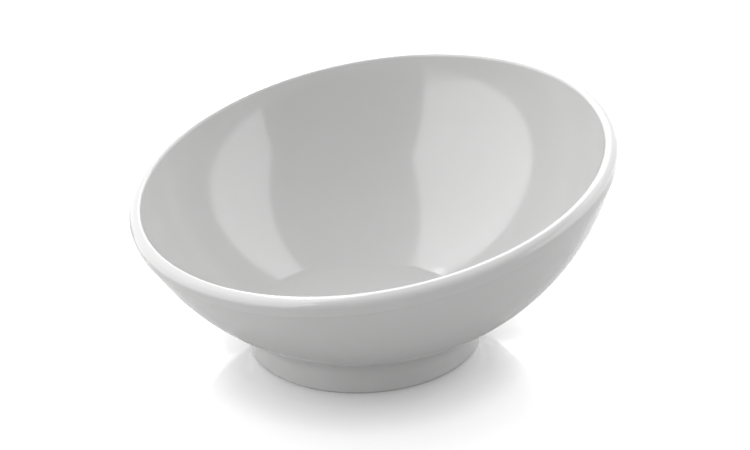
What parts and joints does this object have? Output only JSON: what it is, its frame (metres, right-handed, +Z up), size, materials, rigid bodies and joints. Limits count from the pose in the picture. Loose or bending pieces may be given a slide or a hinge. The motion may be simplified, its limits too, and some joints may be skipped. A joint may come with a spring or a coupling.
{
  "type": "angled serving bowl",
  "caption": "Round glossy white serving bowl tipped on a level foot ring, with a slanted beaded rim and a flat inner floor, for chips, dip or snacks.",
  "frame": {"origin": "middle of the foot ring, on the plane the bowl stands on", "axes": "+Z up; +Y towards the high side of the slanted rim; +X to the right when seen from the low side"},
  "size_m": [0.2364, 0.2293, 0.1271],
  "materials": {
    "rim_white": "glossy white moulded melamine",
    "wall_white": "glossy white moulded melamine",
    "floor_white": "glossy white moulded melamine",
    "foot_white": "glossy white moulded melamine"
  },
  "bodies": {
    "root": {"rim_bead": "rim_white", "bowl_wall": "wall_white", "well_floor": "floor_white", "foot_ring": "foot_white"}
  },
  "joints": []
}
